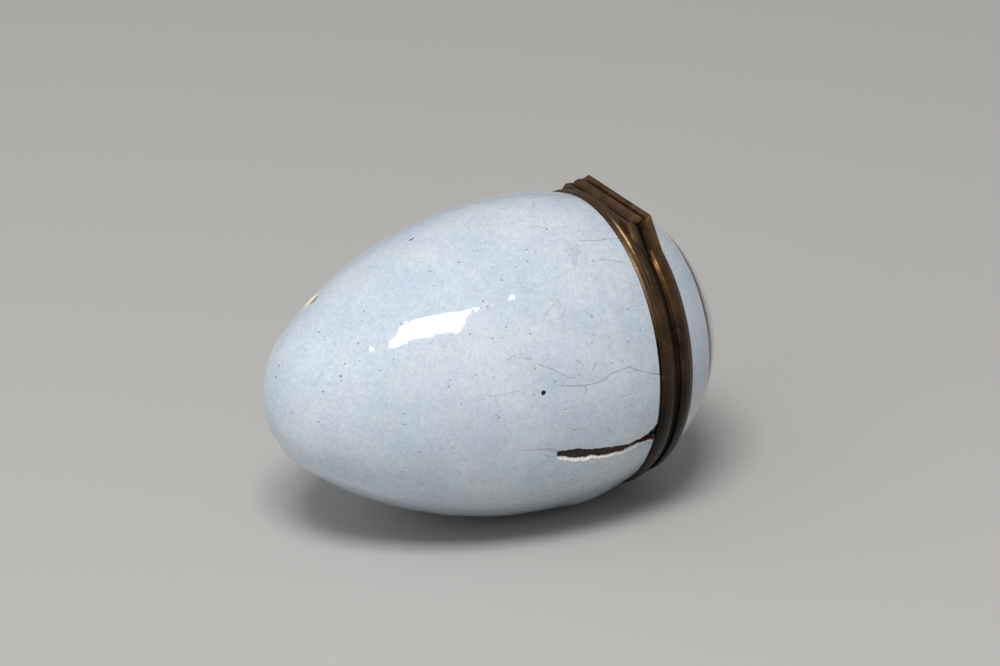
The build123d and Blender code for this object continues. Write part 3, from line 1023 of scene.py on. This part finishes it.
def barNotch(lowX, highX):
    y, top, foot = mount["barHalfLength"], mount["barTop"], mount["barFoot"]
    wide, low, high = mount["barFootY"], mount["notchLow"], mount["notchHigh"]
    half = [(wide, low), (wide, foot), (y, top), (y, high)]
    outline = half + [(-a, r) for a, r in half[::-1]]
    points = [Vector((lowX, a, axisHeight + r)) for a, r in outline]
    return prism(points, (highX - lowX, 0, 0))


def valleyCutter():
    reach = mount["valleyReach"]
    rise = reach * math.tan(mount["valley"])
    half = mount["barFootY"] + 0.05 * mm
    points = [
        Vector((hinge.x, -half, hinge.z)),
        Vector((hinge.x + reach, -half, hinge.z + rise)),
        Vector((hinge.x - reach, -half, hinge.z + rise)),
    ]
    return prism(points, (0, 2 * half, 0))


def channelCutter():
    half, end = mount["channelHalf"], mount["channelHalfLength"]
    low = (hinge.x - half, -end, hinge.z - half)
    return boxBetween(low, (hinge.x + half, end, hinge.z + 3 * mm))


def markMetal(piece, isBar):
    # gilding rubbed on the crests and the edges, with painted highlights on the rings, and painted shade in
    # the grooves, on the lower side, in the web and beside the pin
    mesh = piece.data
    worn = mesh.attributes.new("worn", "FLOAT", "POINT")
    # the second mark is painted shade; the first is rubbed gilding with, on the rings, painted highlights
    paintedShade = mesh.attributes.new("paintedShade", "FLOAT", "POINT")
    for number, vert in enumerate(mesh.vertices):
        worn.data[number].value, paintedShade.data[number].value = (barMarks if isBar else ringMarks)(vert.co)


def ringMarks(place):
    angle = math.degrees(math.atan2(-place.y, place.z - axisHeight))
    rub = 0.18 * max(0.0, noise.noise(place * 500))
    # the streaks are rubbed gilding and painted highlights at once
    for x, middle, width, reach, weight in mount["rubbed"]:
        beside, along = (place.x / mm - x) / width, (angle - middle) / reach
        rub += weight * math.exp(-(beside**2) - along**2)
    # painted highlight: a glint on the ring's edge, added to the wear mark
    glintX, glintAngle, glintRadius = mount["glint"]
    glint = (place - surfacePoint(glintX, glintAngle)).length / glintRadius
    # painted shade: the seam, the black lower edge, the lower side and the web
    seamX, seamHalf = mount["seam"]
    deep = 0.97 * math.exp(-(((place.x - seamX) / seamHalf) ** 2))
    low, high, edge = mount["edgeShadow"]
    if low < angle < high and place.x < edge:
        deep = 1.0
    start, reach = mount["shadeAngles"]
    deep = max(deep, 0.95 * min(1.0, max(0.0, (angle - start) / reach)))
    return min(1.0, max(rub, math.exp(-glint * glint))), max(deep, webShade(place))


def barMarks(place):
    deep = 0.0
    # painted shade in the channel under the pin
    beside, above, fadeDepth = mount["pinGrime"]
    if abs(place.x - hinge.x) < beside:
        deep = 0.95 * min(1.0, max(0.0, (hinge.z + above - place.z) / fadeDepth))
    return min(1.0, 0.12 + 0.5 * max(0.0, noise.noise(place * 800))), max(deep, webShade(place))


def webShade(place):
    # painted shade where the web lies inside the mount
    radius, dull = mount["webShade"]
    return dull if math.hypot(place.y, place.z - axisHeight) < radius else 0.0


def boreAlong(radius, depth, middle, steps=160):
    # a plain cylinder lying along the egg
    bm = bmesh.new()
    bmesh.ops.create_cone(
        bm, cap_ends=True, segments=steps, radius1=radius, radius2=radius, depth=depth,
        matrix=Matrix.Translation(middle) @ Matrix.Rotation(math.pi / 2, 4, "Y"),
    )
    return bm


def makeThumbLip():
    # the small rounded lip that the lid is lifted by, under the egg
    radius, width = mount["lipRadius"], mount["lipWidth"]
    middle = Vector((barLid[1].x - width / 2, 0, ringLid[0].z + radius))
    bm = boreAlong(radius, width, middle, 96)
    bmesh.ops.bevel(
        bm, geom=sharpEdges(bm, 60), offset=mount["lipRound"], segments=3, profile=0.5, affect="EDGES",
        material=-1,
    )
    piece = addPiece("thumbLip", bm)
    cutPiece(piece, [boreAlong(mount["lipInside"], 8 * mm, (middle.x, 0, axisHeight))])
    lip = bmesh.new()
    lip.from_mesh(piece.data)
    bpy.data.objects.remove(piece)
    return lip


def makeRing(name, edgeX, partingX, webX, radiusAt, webRadius, joined):
    # one beaded ring with its web, notched for the hinge's bar
    seat, gap = mount["seat"], mount["seatGap"]
    section = beadSection(
        edgeX, radiusAt(edgeX) + mount["edgeStep"], radiusAt(edgeX, seat) + gap,
        webX, radiusAt(webX, seat) + gap, webRadius, partingX,
    )
    piece = addPiece(name, spinSection(section, True, mount["steps"]), mountMetal)
    low, high = sorted((webX, partingX + math.copysign(1 * mm, partingX - webX)))
    cutPiece(piece, [barNotch(low, high), valleyCutter()])
    cutPiece(piece, joined, "UNION")
    cleanPiece(piece)
    markMetal(piece, False)
    return piece


bodyRing = makeRing(
    "bodyMountRing", ringBody[0].x, ringBody[1].x, barBody[0].x, bodyRadiusAt, mount["webRadiusBody"], []
)
thumbLip = makeThumbLip()
lidRing = makeRing(
    "lidMountRing", ringLid[1].x, ringLid[0].x, barLid[1].x, lidRadiusAt, mount["webRadiusLid"], [thumbLip]
)
print("mount rings", len(bodyRing.data.vertices), len(lidRing.data.vertices), "points")


bar = {
    "low": 11.5 * mm,
    # only edges and faces this far out from the egg's axis are rounded and dented
    "bevelAbove": 14.6 * mm,
    "dentAbove": 15.3 * mm,
    "slice": 0.45 * mm,
    "bevel": 0.09 * mm,
    "dent": 0.05 * mm,
    "knuckleRadius": 1.02 * mm,
    "knuckleSpare": 0.022 * mm,
    "bore": 0.44 * mm,
    "reedCount": 22,
    "reedDepth": 0.05 * mm,
}


def makeBar(name, lowX, highX, webRadius, top):
    # one half of the hinge: a block over the wall with the barrel's channel cut in it
    y, foot = mount["barHalfLength"], mount["barFoot"]
    half = [(mount["barFootY"], bar["low"]), (mount["barFootY"], foot), (y, top)]
    outline = half + [(-a, r) for a, r in half[::-1]]
    points = [Vector((lowX, a, axisHeight + r)) for a, r in outline]
    piece = addPiece(name, prism(points, (highX - lowX, 0, 0)), barMetal)
    bore = boreAlong(webRadius, 30 * mm, (0, 0, axisHeight))
    cutPiece(piece, [bore, valleyCutter(), channelCutter()])
    bm = bmesh.new()
    bm.from_mesh(piece.data)
    bmesh.ops.remove_doubles(bm, verts=bm.verts, dist=0.003 * mm)
    bmesh.ops.dissolve_limit(bm, angle_limit=math.radians(1), verts=bm.verts, edges=bm.edges)
    sharp = sharpEdges(bm, 25)
    sharp = [e for e in sharp if min(v.co.z for v in e.verts) > axisHeight + bar["bevelAbove"]]
    bmesh.ops.bevel(
        bm, geom=sharp, offset=bar["bevel"], segments=2, profile=0.5, affect="EDGES", material=-1,
        clamp_overlap=True,
    )
    slices = int(mount["barFootY"] / bar["slice"])
    for n in range(-slices, slices + 1):
        bmesh.ops.bisect_plane(
            bm, geom=list(bm.verts) + list(bm.edges) + list(bm.faces), dist=1e-7,
            plane_co=(0, n * bar["slice"], 0), plane_no=(0, 1, 0),
        )
    bmesh.ops.triangulate(bm, faces=[f for f in bm.faces if len(f.verts) > 4])
    for vert in bm.verts:
        if vert.co.z > axisHeight + bar["dentAbove"]:
            vert.co.z -= bar["dent"] * abs(noise.noise(vert.co * 700))
    bmesh.ops.recalc_face_normals(bm, faces=bm.faces)
    bm.to_mesh(piece.data)
    bm.free()
    piece.data.shade_smooth()
    piece.data.set_sharp_from_angle(angle=math.radians(30))
    markMetal(piece, True)
    return piece


def makeKnuckle(node):
    # a length of the barrel, with fine lines drawn along it
    low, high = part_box(node)
    start, end = low.y - bar["knuckleSpare"], high.y + bar["knuckleSpare"]
    bm = bmesh.new()
    upright = Matrix.Translation((hinge.x, start, hinge.z)) @ Matrix.Rotation(-math.pi / 2, 4, "X")
    steps = bar["reedCount"] * 8
    bmesh.ops.create_circle(bm, cap_ends=False, segments=steps, radius=bar["knuckleRadius"], matrix=upright)
    for vert in bm.verts:
        away = vert.co - Vector((hinge.x, start, hinge.z))
        reed = abs(math.sin(math.atan2(away.z, away.x) * bar["reedCount"] / 2))
        vert.co -= away.normalized() * bar["reedDepth"] * (1 - reed)
    bmesh.ops.create_circle(bm, cap_ends=False, segments=steps, radius=bar["bore"], matrix=upright)
    ends = bmesh.ops.bridge_loops(bm, edges=bm.edges)["faces"]
    pushed = bmesh.ops.extrude_face_region(bm, geom=ends)["geom"]
    bmesh.ops.translate(bm, vec=(0, end - start, 0), verts=onlyVerts(pushed))
    bmesh.ops.recalc_face_normals(bm, faces=bm.faces)
    made = addPiece("reeded_" + node, bm, mountMetal, 40)
    markMetal(made, True)
    return made


bodyBar = makeBar("bodyHingeBar", barBody[0].x, barBody[1].x, mount["webRadiusBody"], mount["barTopBody"])
lidBar = makeBar("lidHingeBar", barLid[0].x, barLid[1].x, mount["webRadiusLid"], mount["barTop"])
knuckleNodes = [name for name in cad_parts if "knuckle" in name]
knuckles = {name: makeKnuckle(name) for name in knuckleNodes}
print("hinge", len(bodyBar.data.vertices), len(lidBar.data.vertices), len(knuckles), "knuckles")


# What shows of the CAD nodes

for name, material in {
    "body_copper_shell": oldCopper,
    "lid_copper_shell": oldCopper,
    "body_counter_enamel": whiteLining,
    "lid_counter_enamel": whiteLining,
    "body_bezel_collar": collarMetal,
    "hinge_pin": pinSteel,
}.items():
    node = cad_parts[name]
    node.data.materials.clear()
    node.data.materials.append(material)

newPieces = [
    (bodyPiece, "body_outer_enamel", "pale_enamel"),
    (lidPiece, "lid_outer_enamel", "pale_enamel"),
    (bodyRing, "body_mount_moulding", "mount_metal"),
    (lidRing, "lid_mount_moulding", "mount_metal"),
    (bodyBar, "body_hinge_bar", "mount_metal"),
    (lidBar, "lid_hinge_bar", "mount_metal"),
]
newPieces += [(piece, name, "mount_metal") for name, piece in knuckles.items()]
for piece, partner, finish in newPieces:
    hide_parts(partner)
    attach(piece, partner.split("_")[0])


# Floor, light and camera

studio = {
    "floor": (0.470, 0.465, 0.455, 1.0),
    "floorSize": 6.0,
    "sky": (0.50, 0.505, 0.51, 1.0),
    "skyStrength": 0.55,
    "keyPlace": (-0.323, -0.385, 0.865),
    "keyAlong": (306, -212, 25),
    "keyDistance": 0.82,
    "keySize": (0.32, 0.235),
    "keyPower": 5.2,
    # soft fills, too broad to show in the glaze: place and power
    "fills": [((-0.9, 0.1, 0.75), 1.2), ((-1.3, -0.5, 0.45), 3.4), ((-0.9, 1.0, 0.9), 0.8)],
    "fillSize": (1.1, 0.9),
}
view = {"azimuth": -29.09, "elevation": 24.28, "distance": 0.45, "lens": 147.1, "aim": (-1.9, 2.0, 19.28)}


def makeFloor():
    material, tree, shader, place = newMaterial("floorPaper", 0.9)
    cloud = noiseValue(tree, place, 3.0, 2.0)
    tone = [channel * 1.03 for channel in studio["floor"][:3]] + [1.0]
    tree.links.new(blendColour(tree, cloud, studio["floor"], tone), shader.inputs["Base Color"])
    shader.inputs["Specular IOR Level"].default_value = 0.1
    bm = bmesh.new()
    bmesh.ops.create_grid(bm, x_segments=2, y_segments=2, size=studio["floorSize"] / 2)
    floor = addPiece("floor", bm, material)


def aimAt(thing, place, target):
    thing.location = place
    thing.rotation_euler = (Vector(target) - Vector(place)).to_track_quat("-Z", "Y").to_euler()


def makeLight(name, place, target, size, power, colour=(1, 1, 1)):
    data = bpy.data.lights.new(name, "AREA")
    data.shape = "RECTANGLE"
    data.size, data.size_y = size
    data.energy = power
    data.color = colour
    light = bpy.data.objects.new(name, data)
    bpy.context.collection.objects.link(light)
    aimAt(light, place, target)
    return light


def makeStudio():
    makeFloor()
    world = bpy.data.worlds.new("studio")
    world.use_nodes = True
    sky = world.node_tree.nodes["Background"]
    sky.inputs["Color"].default_value = studio["sky"]
    sky.inputs["Strength"].default_value = studio["skyStrength"]
    bpy.context.scene.world = world
    middle = Vector((0, 0, axisHeight))
    away = Vector(studio["keyPlace"]).normalized()
    place = middle + away * studio["keyDistance"]
    key = makeLight("key", place, middle, studio["keySize"], studio["keyPower"], (1.0, 0.985, 0.96))
    across = away.cross(Vector(studio["keyAlong"])).normalized()
    along = across.cross(away)
    key.rotation_euler = Matrix((along, across, away)).transposed().to_euler()
    for number, (place, power) in enumerate(studio["fills"]):
        fill = makeLight(f"fill{number}", place, middle, studio["fillSize"], power, (0.97, 0.985, 1.0))
        fill.visible_glossy = False


def makeCamera():
    data = bpy.data.cameras.new("camera")
    data.lens = view["lens"]
    data.sensor_width = 36.0
    camera = bpy.data.objects.new("camera", data)
    bpy.context.collection.objects.link(camera)
    turn, tilt = math.radians(view["azimuth"]), math.radians(view["elevation"])
    back = Vector((math.sin(turn) * math.cos(tilt), -math.cos(turn) * math.cos(tilt), math.sin(tilt)))
    aim = Vector(view["aim"]) * mm
    aimAt(camera, aim + back * view["distance"], aim)
    data.clip_start, data.clip_end = 0.01, 20.0
    bpy.context.scene.camera = camera


makeStudio()
makeCamera()
bpy.context.scene.view_settings.view_transform = "Standard"
print("studio ready")
